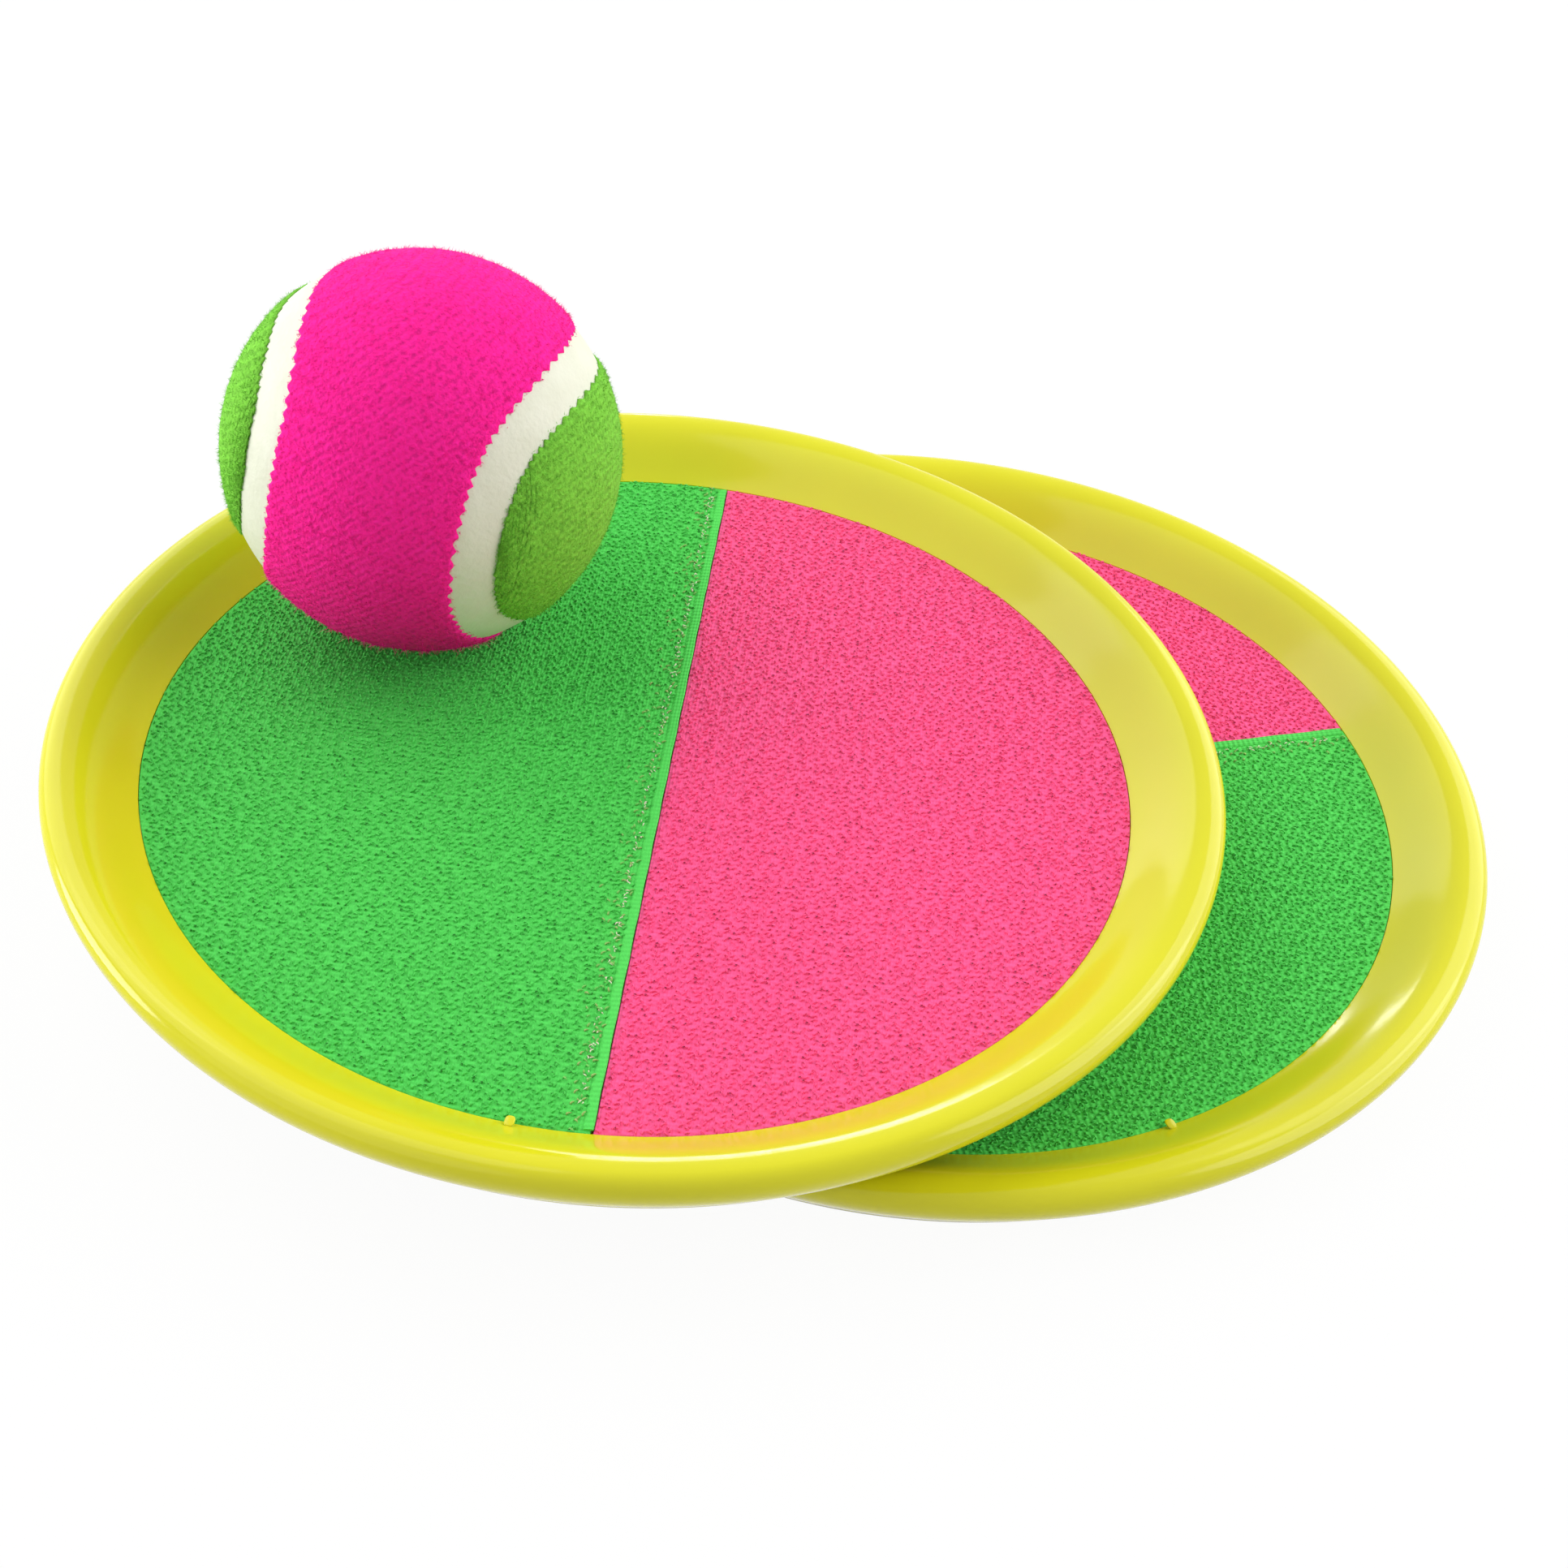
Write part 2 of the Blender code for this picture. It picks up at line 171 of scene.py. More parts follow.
# The felt's toothed edge, with teeth that run a little closer and wider by turns. The seam is about
# 1.5 radii long for each radian of its angle
MAGENTA_TOOTH = 0.85 * MM
LIME_TOOTH = 0.75 * MM
TOOTH_PITCH = 2.0 * MM
TOOTH_DRIFT = 0.4
TOOTH_DRIFT_RATE = 9.0
TOOTH_SCATTER = 0.2 * MM
TOOTH_SMOOTHING = 7
SEAM_STRETCH = 1.5

# Fuzz. Its lengths and radii are in millimetres, its tilts in radians. Some fibres that point down
# by more than a share are pulled to several times their length
FUZZ_COUNT = 19000
FUZZ_SCATTER = 0.25 * MM
FUZZ_ROOT = 0.1 * MM
FUZZ_TILTS = (0.5, 1.45)
FUZZ_LENGTHS = (0.5, 1.15)
FUZZ_EDGE_SHARE = 0.5
FUZZ_RADII = (0.055, 0.0)
PULLED_FROM = 0.45
PULLED_FADE = 0.35
PULLED_SHARE = 0.3
PULLED_TIMES = (1.6, 3.0)

# Fineness of the round shapes
SHELL_STEPS = 240
SLOPE_STEPS = 16
SHOULDER_STEPS = 8
WALL_STEPS = 10
STUD_STEPS = 32
STUD_EDGE_STEPS = 4
NUB_STEPS = 24
ARC_STEPS = 200
CHORD_STEPS = 40
SELVEDGE_STATIONS = 160
TAPE_STATIONS = 120
PANEL_ROWS = 360
PANEL_ACROSS = 44
PANEL_UNDER_SHARES = (0.0, 0.33, 0.67, 1.0)
NEAREST_CHUNKS = 40
RUBBER_ROWS = 72

# Studio. Lamps stand at a distance along their own direction from the aim
FLOOR_REACH = 3.0
FLOOR_DROP = 0.05 * MM
FLOOR_PAPER = (0.86, 0.86, 0.86)
FLOOR_GLOW = 0.95
WORLD_LIGHT = 0.3
LAMP_AIM = (0.0, 0.0, 20 * MM)
LAMP_REACH = 0.95
SMALL_SOFTBOX = ("DISK", 0.5, 0.5)
LARGE_SOFTBOX = ("DISK", 0.9, 0.9)
STRIP = ("RECTANGLE", 0.022, 0.25)
LAMPS = (
    ("low_left_softbox", (-0.98, 0.0, 0.2), 5.0, SMALL_SOFTBOX),
    ("back_left_softbox", (-0.61, 0.61, 0.51), 3.45, LARGE_SOFTBOX),
    ("back_right_softbox", (0.61, 0.61, 0.51), 4.6, LARGE_SOFTBOX),
    ("right_softbox", (0.86, 0.0, 0.51), 5.9, LARGE_SOFTBOX),
    ("front_left_softbox", (-0.61, -0.61, 0.51), 1.35, LARGE_SOFTBOX),
    ("top_left_softbox", (-0.505, 0.10, 0.857), 2.6, LARGE_SOFTBOX),
    ("back_strip", (-0.11, 0.978, 0.185), 0.22, STRIP),
)

# How each paddle's moulding and fabric are turned
UPPER_SHELL_TURN = math.radians(-97.2)
LOWER_SHELL_TURN = math.radians(-61.1)
UPPER_FABRIC_TURN = math.radians(-92.1)
LOWER_FABRIC_TURN = math.radians(17.9)


def middle(node):
    """The middle of a node's box, and half its width."""
    low, high = (np.array(corner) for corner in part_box(node))
    return (low + high) / 2, (high - low) / 2


LOWER_MIDDLE, LOWER_HALF = middle("lower_shell")
UPPER_MIDDLE, _ = middle("upper_shell")
CORE_MIDDLE, CORE_HALF = middle("ball_core")
RIM_RADIUS = LOWER_HALF[0]
PADDLE_HEIGHT = 2 * LOWER_HALF[2]
LOWER_PLACE = Vector((LOWER_MIDDLE[0], LOWER_MIDDLE[1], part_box("lower_shell")[0][2]))
UPPER_PLACE = Vector((UPPER_MIDDLE[0], UPPER_MIDDLE[1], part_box("upper_shell")[0][2]))
BALL_PLACE = Vector(CORE_MIDDLE)
CORE_RADIUS = CORE_HALF[2]
FACE_RADIUS = RIM_RADIUS - RIM_WIDTH
CREST_RADIUS = RIM_RADIUS - CREST_INSET
FOOT_RADIUS = RIM_RADIUS - FOOT_INSET
FACE_HEIGHT = PADDLE_HEIGHT - RIM_RISE
PLATE_TOP = FACE_HEIGHT - FABRIC_THICK - SEAT_GAP
PLATE_UNDER = PLATE_TOP - PLATE_THICK
STUD_REACH = FACE_RADIUS - STUD_INSET
TAPE_BEND_REACH = STUD_REACH - TAPE_FLAT


# Materials

# Radians that a wave texture turns through in a unit of length, at scale 1
WAVE_RATE = 20

# A Mix node's sockets when it mixes colours
MIX_SHARE, MIX_FIRST, MIX_SECOND, MIX_RESULT = 0, 6, 7, 2

YELLOW = (0.65, 0.62, 0.011)
GREEN = (0.079, 0.575, 0.089)
PINK = (0.98, 0.096, 0.275)
FLECK = (0.38, 0.46, 0.16)
THREAD_COLOURS = ((0.55, 0.52, 0.30), (0.85, 0.84, 0.70))
MAGENTA = (0.98, 0.016, 0.3)
LIME = (0.18, 0.52, 0.048)
RUBBER_COLOURS = ((0.65, 0.665, 0.53), (0.71, 0.725, 0.60))
TAPE_COLOURS = ((0.008, 0.008, 0.009), (0.035, 0.035, 0.038))


class Finish:
    """A Principled material whose pattern is worked out in each piece's own turned frame."""

    def __init__(self, name, roughness, **settings):
        self.material = bpy.data.materials.new(name)
        self.material.use_nodes = True
        self.tree = self.material.node_tree
        self.shader = self.tree.nodes["Principled BSDF"]
        self.shader.inputs["Roughness"].default_value = roughness
        for socket, value in settings.items():
            self.shader.inputs[socket.replace("_", " ")].default_value = value
        own = self.tree.nodes.new("ShaderNodeAttribute")
        own.attribute_name = "own_place"
        self.place = own.outputs["Vector"]

    def node(self, kind, **inputs):
        made = self.tree.nodes.new(kind)
        for socket, value in inputs.items():
            target = made.inputs[socket.replace("_", " ")]
            if isinstance(value, bpy.types.NodeSocket):
                self.tree.links.new(value, target)
            else:
                target.default_value = value
        return made

    def noise(self, size, detail):
        made = self.node("ShaderNodeTexNoise", Vector=self.place, Scale=1 / size, Detail=detail)
        return made.outputs["Fac"]

    def bands(self, pitch, direction):
        made = self.node("ShaderNodeTexWave", Vector=self.place, Scale=2 * math.pi / WAVE_RATE / pitch)
        made.bands_direction = direction
        return made.outputs["Fac"]

    def ramp(self, value, *stops):
        """Colours at positions along a value."""
        made = self.node("ShaderNodeValToRGB", Fac=value)
        stored = made.color_ramp.elements
        while len(stored) < len(stops):
            stored.new(0.5)
        for element, (position, colour) in zip(stored, stops):
            element.position = position
            element.color = (*colour, 1.0)
        return made.outputs["Color"]

    def mix(self, share, first, second, blend="MIX"):
        made = self.tree.nodes.new("ShaderNodeMix")
        made.data_type = "RGBA"
        made.blend_type = blend
        for index, value in ((MIX_SHARE, share), (MIX_FIRST, first), (MIX_SECOND, second)):
            if isinstance(value, bpy.types.NodeSocket):
                self.tree.links.new(value, made.inputs[index])
            elif index == MIX_SHARE:
                made.inputs[index].default_value = value
            else:
                made.inputs[index].default_value = (*value, 1.0)
        return made.outputs[MIX_RESULT]

    def add(self, first, second, weight):
        """The first value with a share of the second on top."""
        scaled = self.tree.nodes.new("ShaderNodeMath")
        scaled.operation = "MULTIPLY_ADD"
        self.tree.links.new(second, scaled.inputs[0])
        scaled.inputs[1].default_value = weight
        self.tree.links.new(first, scaled.inputs[2])
        return scaled.outputs[0]

    def attribute(self, name):
        made = self.tree.nodes.new("ShaderNodeAttribute")
        made.attribute_name = name
        return made.outputs["Fac"]

    def colour(self, value):
        self.tree.links.new(value, self.shader.inputs["Base Color"])

    def rough(self, value, low, high):
        span = self.node("ShaderNodeMapRange", Value=value, To_Min=low, To_Max=high)
        self.tree.links.new(span.outputs["Result"], self.shader.inputs["Roughness"])

    def bump(self, height, depth):
        made = self.node("ShaderNodeBump", Height=height, Distance=depth)
        self.tree.links.new(made.outputs["Normal"], self.shader.inputs["Normal"])


def shade(colour, factor):
    return tuple(min(part * factor, 1.0) for part in colour)


def plastic_finish():
    """Glossy moulded plastic, slightly uneven in tone, gloss and surface."""
    finish = Finish("yellow_plastic", 0.2, Specular_IOR_Level=0.32)
    tone = finish.noise(size=40 * MM, detail=2)
    finish.colour(finish.ramp(tone, (0.3, shade(YELLOW, 0.95)), (0.7, shade(YELLOW, 1.03))))
    finish.rough(finish.noise(size=6 * MM, detail=3), low=0.09, high=0.16)
    wide = finish.noise(size=9 * MM, detail=2)
    fine = finish.noise(size=0.7 * MM, detail=2)
    finish.bump(finish.add(wide, fine, weight=0.06), depth=0.05 * MM)
    return finish.material


def ground_finish(name, colour):
    """The woven ground that the hooks stand on, in cross ribs."""
    finish = Finish(name, 0.8, Specular_IOR_Level=0.2)
    weave = finish.add(finish.bands(ROW_PITCH, "X"), finish.bands(HOOK_PITCH / 2, "Y"), weight=0.6)
    spots = finish.add(weave, finish.noise(size=0.8 * MM, detail=2), weight=1.2)
    finish.colour(finish.ramp(spots, (0.4, shade(colour, 1.0)), (0.9, shade(colour, 1.12))))
    finish.bump(weave, depth=0.1 * MM)
    return finish.material


def hook_finish(name, colour):
    """Nylon hooks, each with its own tint, paler the more of a fleck it has."""
    finish = Finish(name, 0.6, Specular_IOR_Level=0.2)
    shades = finish.ramp(finish.attribute("tint"), (0.0, shade(colour, 0.96)), (1.0, shade(colour, 1.09)))
    wide = finish.noise(size=16 * MM, detail=3)
    patches = finish.ramp(wide, (0.35, (0.95, 0.95, 0.95)), (0.65, (1.0, 1.0, 1.0)))
    mixed = finish.mix(1.0, shades, patches, "MULTIPLY")
    finish.colour(finish.mix(finish.attribute("fleck"), mixed, FLECK))
    return finish.material


def thread_finish():
    finish = Finish("pale_thread", 0.8)
    dark, pale = THREAD_COLOURS
    finish.colour(finish.ramp(finish.noise(size=0.6 * MM, detail=2), (0.3, dark), (0.7, pale)))
    return finish.material


def felt_finish(name, colour):
    """Knitted nap: soft mottling over fine rows of stitches, partly random tone and partly painted shade in
    the nap's hollows with painted light on its crests.
    """
    finish = Finish(name, 0.95, Sheen_Weight=0.06, Sheen_Roughness=0.6, Sheen_Tint=(*colour, 1),
                    Specular_IOR_Level=0.15)
    stitches = finish.add(finish.bands(FELT_STITCH, "X"), finish.bands(FELT_STITCH, "Y"), weight=0.4)
    fine = finish.noise(size=0.65 * MM, detail=3)
    coarse = finish.noise(size=2.2 * MM, detail=3)
    height = finish.add(finish.add(fine, coarse, weight=0.3), stitches, weight=0.17)
    # Painted shade and painted light: the colour follows the bump's height, darker in the hollows and paler
    # on the crests, over some random mottling.
    hollow, crest = shade(colour, 0.76), shade(colour, 1.17)
    finish.colour(finish.ramp(height, (0.56, hollow), (0.77, colour), (1.0, crest)))
    finish.bump(height, depth=0.35 * MM)
    return finish.material


def fuzz_finish(name, colour):
    """Loose fibres, each with its own tint."""
    finish = Finish(name, 0.9, Specular_IOR_Level=0.1)
    tint = finish.attribute("tint")
    finish.colour(finish.ramp(tint, (0.0, shade(colour, 0.8)), (1.0, shade(colour, 1.25))))
    return finish.material


def rubber_finish():
    """Dull natural rubber with faint clouds and a grained surface."""
    finish = Finish("off_white_rubber", 0.6)
    dark, pale = RUBBER_COLOURS
    finish.colour(finish.ramp(finish.noise(size=7 * MM, detail=4), (0.3, dark), (0.7, pale)))
    fine = finish.noise(size=0.9 * MM, detail=3)
    coarse = finish.noise(size=5 * MM, detail=2)
    finish.bump(finish.add(fine, coarse, weight=1.5), depth=0.12 * MM)
    return finish.material


def tape_finish():
    """Black woven tape."""
    finish = Finish("black_tape", 0.85, Sheen_Weight=0.3)
    dark, pale = TAPE_COLOURS
    weave = finish.add(finish.bands(0.9 * MM, "X"), finish.bands(0.6 * MM, "Y"), weight=1.0)
    finish.colour(finish.ramp(weave, (0.4, dark), (1.0, pale)))
    finish.bump(weave, depth=0.2 * MM)
    return finish.material


FINISHES = {
    "plastic": plastic_finish(),
    "green_ground": ground_finish("green_ground", GREEN),
    "pink_ground": ground_finish("pink_ground", PINK),
    "green_hooks": hook_finish("green_hooks", GREEN),
    "pink_hooks": hook_finish("pink_hooks", PINK),
    "thread": thread_finish(),
    "magenta": felt_finish("magenta_felt", MAGENTA),
    "lime": felt_finish("lime_felt", LIME),
    "magenta_fuzz": fuzz_finish("magenta_fuzz", MAGENTA),
    "lime_fuzz": fuzz_finish("lime_fuzz", LIME),
    "rubber": rubber_finish(),
    "tape": tape_finish(),
}


# Mesh helpers

def piece(name, points, faces, finish, slot, place, turn, stands_for=(), sharp=40):
    """A mesh piece that rides on the part, made from points in its own turned frame."""
    own = np.asarray(points, dtype=float)
    turned = np.array(turn if isinstance(turn, Matrix) else Matrix.Rotation(turn, 3, "Z"))
    mesh = bpy.data.meshes.new(name)
    mesh.from_pydata((own @ turned.T).tolist(), [], [list(face) for face in faces])
    mesh.validate()
    stored = mesh.attributes.new("own_place", "FLOAT_VECTOR", "POINT")
    stored.data.foreach_set("vector", own.astype(np.float32).ravel())
    mesh.shade_smooth()
    if sharp:
        mesh.set_sharp_from_angle(angle=math.radians(sharp))
    mesh.materials.append(FINISHES[finish])
    made = bpy.data.objects.new(name, mesh)
    bpy.context.scene.collection.objects.link(made)
    made.location = place
    bpy.context.view_layer.update()
    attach(made, "root")
    if stands_for:
        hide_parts(*stands_for)
    return made


class Shape:
    """Points and faces gathered from several closed forms."""

    def __init__(self):
        self.points = []
        self.faces = []

    def add(self, points, faces):
        start = sum(len(part) for part in self.points)
        self.points.append(np.asarray(points, dtype=float))
        self.faces += [tuple(start + corner for corner in face) for face in faces]

    def all_points(self):
        return np.concatenate(self.points)


def revolve(profile, steps, centre=(0.0, 0.0)):
    """Spins an open (radius, height) line, with both ends on the axis, into a closed form."""
    body = np.array(profile[1:-1])
    angles = np.arange(steps) * 2 * math.pi / steps
    ring = np.stack([np.cos(angles), np.sin(angles)], axis=1)
    points = [[centre[0], centre[1], profile[0][1]]]
    for radius, height in body:
        points += np.column_stack([centre + radius * ring, np.full(steps, height)]).tolist()
    points.append([centre[0], centre[1], profile[-1][1]])
    last = len(points) - 1
    faces = []
    for step in range(steps):
        after = (step + 1) % steps
        faces.append((0, 1 + step, 1 + after))
        for row in range(len(body) - 1):
            low = 1 + row * steps
            high = low + steps
            faces.append((low + step, high + step, high + after, low + after))
        faces.append((last, last - steps + after, last - steps + step))
    return points, faces


def bezier(start, first, second, end, steps):
    """Points and directions along a cubic curve in the plane, without its first point."""
    start, first, second, end = (np.array(point, dtype=float) for point in (start, first, second, end))
    share = (np.arange(1, steps + 1) / steps)[:, None]
    rest = 1 - share
    points = rest**3 * start + 3 * rest**2 * share * first
    points = points + 3 * rest * share**2 * second + share**3 * end
    runs = rest**2 * (first - start) + 2 * rest * share * (second - first) + share**2 * (end - second)
    return points, runs / np.linalg.norm(runs, axis=1)[:, None]


def loft_faces(size, stations):
    """Faces of a closed bar with the same section of points at each station from 0 on."""
    last = stations * size
    faces = [tuple(range(size)), tuple(range(last + size - 1, last - 1, -1))]
    for step in range(stations):
        low, high = step * size, (step + 1) * size
        for corner in range(size):
            after = (corner + 1) % size
            faces.append((low + corner, high + corner, high + after, low + after))
    return faces


# Paddle shells

def rim_line():
    """Points and directions along the rim's outside, from beside the fabric over to the foot."""
    lip = np.array((FACE_RADIUS + SEAT_GAP, FACE_HEIGHT - LIP_DROP))
    crest = np.array((CREST_RADIUS, PADDLE_HEIGHT))
    side = np.array((RIM_RADIUS, PADDLE_HEIGHT - SHOULDER_DROP))
    foot = np.array((FOOT_RADIUS, 0.0))
    slope_end = crest - (SLOPE_CREST_RUN, 0)
    over = crest + (CREST_INSET * ROUND_HANDLE, 0)
    down = side + (0, SHOULDER_DROP * ROUND_HANDLE)
    curves = (
        (lip, lip + SLOPE_START, slope_end, crest, SLOPE_STEPS),
        (crest, over, down, side, SHOULDER_STEPS),
        (side, side - (0, WALL_TOP_RUN), foot + WALL_FOOT_RUN, foot, WALL_STEPS),
    )
    points, runs = [lip[None]], [np.array(SLOPE_START)[None] / np.hypot(*SLOPE_START)]
    for curve in curves:
        found, directions = bezier(*curve)
        points.append(found)
        runs.append(directions)
    return np.concatenate(points), np.concatenate(runs)


def shell_profile():
    """Half the paddle's section: plate, lip, rolled rim and foot, then back along the hollow side."""
    outside, runs = rim_line()
    inside = outside + RIM_WALL * np.column_stack([runs[:, 1], -runs[:, 0]])
    inside[0, 1] = PLATE_UNDER
    inside[-1, 1] = 0.0
    inside = inside[::-1][::2]
    foot = [outside[-1] + FOOT_BEVEL_OUT, outside[-1] - FOOT_BEVEL_IN]
    flat = [(share * FACE_RADIUS, PLATE_TOP) for share in PLATE_SHARES]
    flat.append((FACE_RADIUS + SEAT_GAP, PLATE_TOP))
    under = [(share * FACE_RADIUS, PLATE_UNDER) for share in reversed(PLATE_SHARES)]
    line = [(0.0, PLATE_TOP), *flat, *outside[:-1], *foot, *inside, *under, (0.0, PLATE_UNDER)]
    return [tuple(point) for point in line]


def stud_profile():
    """A stud through the strap, melted over to a round head that is slightly dished below."""
    root = PLATE_UNDER + PLATE_THICK / 2
    seat = PLATE_UNDER - TAPE_THICK - 2 * SEAT_GAP
    bottom = seat - STUD_HEAD_THICK
    corner = STUD_HEAD_RADIUS - STUD_HEAD_ROUND
    top_edge = STUD_HEAD_RADIUS - STUD_HEAD_ROUND / 2
    line = [(0.0, root), (STUD_RADIUS, root), (STUD_RADIUS, seat), (top_edge, seat)]
    for step in range(STUD_EDGE_STEPS + 1):
        angle = math.pi / 2 * step / STUD_EDGE_STEPS
        across = corner + STUD_HEAD_ROUND * math.cos(angle)
        line.append((across, bottom + STUD_HEAD_ROUND * (1 - math.sin(angle))))
    halfway, deepest = STUD_HEAD_DISH
    return line + [(corner / 2, bottom + halfway), (0.0, bottom + deepest)]


def nub_form():
    """A small rounded tongue that reaches from the slope over the fabric's edge."""
    rings = [(math.sin(angle), math.cos(angle)) for angle in np.radians(NUB_RINGS)]
    points, faces = revolve([(0, 1.0), *rings, (0, -1.0)], NUB_STEPS)
    points = np.sign(points) * np.abs(points) ** NUB_SQUARENESS
    centre = (FACE_RADIUS - NUB_OVERHANG + NUB_LENGTH / 2, 0.0, FACE_HEIGHT + SEAT_GAP + NUB_THICK / 2)
    return points * np.array((NUB_LENGTH, NUB_WIDTH, NUB_THICK)) / 2 + centre, faces


def shell(name, place, turn):
    """One paddle's moulding: plate and rim, four studs and the nub."""
    shape = Shape()
    shape.add(*revolve(shell_profile(), SHELL_STEPS))
    spin = Matrix.Rotation(STRAP_TURN, 2)
    for end in (1, -1):
        for side in (1, -1):
            centre = spin @ Vector((end * STUD_REACH, side * STUD_SPREAD / 2))
            shape.add(*revolve(stud_profile(), STUD_STEPS, tuple(centre)))
    shape.add(*nub_form())
    piece(name + "_moulding", shape.all_points(), shape.faces, "plastic", "plastic",
          place, turn, (name + "_shell",))


# Hook fabric

def fabric_outline(side, inset):
    """The edge of the round face on one side of the division, counter-clockwise."""
    radius = FACE_RADIUS + GROUND_REACH - inset
    edge = DIVISION_OFFSET + side * (FABRIC_JOINT / 2 + inset)
    start = math.asin(side * edge / radius)
    angles = start + (math.pi - 2 * start) * np.arange(ARC_STEPS + 1) / ARC_STEPS
    arc = np.column_stack([radius * np.cos(angles), side * radius * np.sin(angles)])
    share = (np.arange(1, CHORD_STEPS) / CHORD_STEPS)[:, None]
    line = np.concatenate([arc, arc[-1] + (arc[0] - arc[-1]) * share])
    return line if side > 0 else line[::-1]


def ground_form(side):
    """The fabric's backing as a thin sheet with a soft edge."""
    count = ARC_STEPS + CHORD_STEPS
    bottom = PLATE_TOP + SEAT_GAP
    top = FACE_HEIGHT - GROUND_DROP
    levels = [(0.0, bottom)] + [(inset * MM, top - below * MM) for inset, below in GROUND_EDGE]
    rings = []
    for inset, height in levels:
        rings.append(np.column_stack([fabric_outline(side, inset), np.full(count, height)]))
    flat = rings[-1]
    centre = flat.mean(axis=0)
    rings += [centre + (flat - centre) * share for share in GROUND_RINGS]
    points = np.concatenate([*rings, [centre], [(centre[0], centre[1], bottom)]])
    top_point, bottom_point = len(points) - 2, len(points) - 1
    inmost = top_point - count
    faces = []
    for step in range(count):
        after = (step + 1) % count
        for low in range(0, inmost, count):
            high = low + count
            faces.append((low + step, low + after, high + after, high + step))
        faces.append((inmost + step, inmost + after, top_point))
        faces.append((after, step, bottom_point))
    return points, faces


def tubes(lines, radii, sides=3):
    """Closed tubes that taper to a point, from (count, sections, 3) lines. radii has one per section."""
    count, sections = lines.shape[:2]
    along = np.gradient(lines, axis=1)
    along /= np.linalg.norm(along, axis=2)[..., None]
    aside = np.cross(along, np.array((0.31, 0.77, 0.55)))
    aside /= np.linalg.norm(aside, axis=2)[..., None]
    other = np.cross(along, aside)
    rings = []
    for side in range(sides):
        angle = 2 * math.pi * side / sides
        offset = aside * math.cos(angle) + other * math.sin(angle)
        rings.append(lines[:, :-1] + offset[:, :-1] * np.asarray(radii)[None, :-1, None])
    body = np.stack(rings, axis=2).reshape(count, -1, 3)
    points = np.concatenate([body, lines[:, -1:]], axis=1)
    each = points.shape[1]
    faces = [tuple(range(sides - 1, -1, -1))]
    for row in range(sections - 2):
        for side in range(sides):
            after = (side + 1) % sides
            low, high = row * sides, (row + 1) * sides
            faces.append((low + side, low + after, high + after, high + side))
    for side in range(sides):
        faces.append(((sections - 2) * sides + side, (sections - 2) * sides + (side + 1) % sides, each - 1))
    starts = np.arange(count) * each
    every = [tuple(start + corner for corner in face) for start in starts.tolist() for face in faces]
    return points.reshape(-1, 3), every, each


def spread_attribute(made, name, values, each):
    """Stores one value for each form of a piece, at all the points of that form."""
    stored = made.data.attributes.new(name, "FLOAT", "POINT")
    stored.data.foreach_set("value", np.repeat(values, each).astype(np.float32))


def hook_places(side, random):
    """Where the hooks stand: rows square to the division, clear of the edges and the selvedge."""
    row_reach = int(FACE_RADIUS / ROW_PITCH) + 1
    step_reach = int(FACE_RADIUS / HOOK_PITCH) + 1
    rows = np.arange(-row_reach, row_reach + 1)
    steps = np.arange(-step_reach, step_reach + 1)
    row, step = (grid.ravel() for grid in np.meshgrid(rows, steps, indexing="ij"))
    across, along = HOOK_SCATTER
    x = row * ROW_PITCH + random.normal(0, across, len(row))
    y = (step + 0.5 * (row % 2)) * HOOK_PITCH + random.normal(0, along, len(row))
    room = HOOK_JOINT_ROOM if side > 0 else SELVEDGE_WIDTH + HOOK_SELVEDGE_ROOM
    beyond = side * (y - DIVISION_OFFSET) - FABRIC_JOINT / 2
    kept = (np.hypot(x, y) < FACE_RADIUS + GROUND_REACH - HOOK_EDGE_ROOM) & (beyond > room)
    return x[kept], y[kept], step[kept], beyond[kept]


def hook_rows(name, side, colour, place, turn, seed):
    """Hooks that lean to one side and the other by turns, those at the seat's edge inwards."""
    random = np.random.default_rng(seed)
    x, y, step, beyond = hook_places(side, random)
    count = len(x)
    alternate = np.where(step % 2 == 0, HOOK_TURN, -HOOK_TURN)
    lean = math.pi / 2 + alternate + random.normal(0, HOOK_TURN_SPREAD, count)
    size = np.clip(random.normal(1.0, HOOK_SIZE_SPREAD, count), *HOOK_SIZE_LIMITS)
    run, rise = np.array(HOOK_LINE).T * MM
    reach = run[-1] * size
    tip = np.hypot(x + np.cos(lean) * reach, y + np.sin(lean) * reach)
    lean += np.where(tip > FACE_RADIUS + SEAT_GAP, math.pi, 0.0)
    lines = np.empty((count, len(HOOK_LINE), 3))
    lines[..., 0] = x[:, None] + np.cos(lean)[:, None] * run * size[:, None]
    lines[..., 1] = y[:, None] + np.sin(lean)[:, None] * run * size[:, None]
    lines[..., 2] = FACE_HEIGHT - GROUND_DROP + rise * size[:, None]
    points, faces, each = tubes(lines, np.array(HOOK_RADII) * MM)
    made = piece(name, points, faces, colour + "_hooks", colour + "_fabric", place, turn, sharp=0)
    spread_attribute(made, "tint", np.clip(random.normal(*HOOK_TINT, count), 0, 1), each)
    closeness = np.clip(1 - beyond / FLECK_ZONE, 0, 1) if side < 0 else np.zeros(count)
    flecks = random.random(count) < FLECK_SHARE * closeness
    spread_attribute(made, "fleck", flecks * random.uniform(*FLECK_STRENGTH, count), each)
    return made


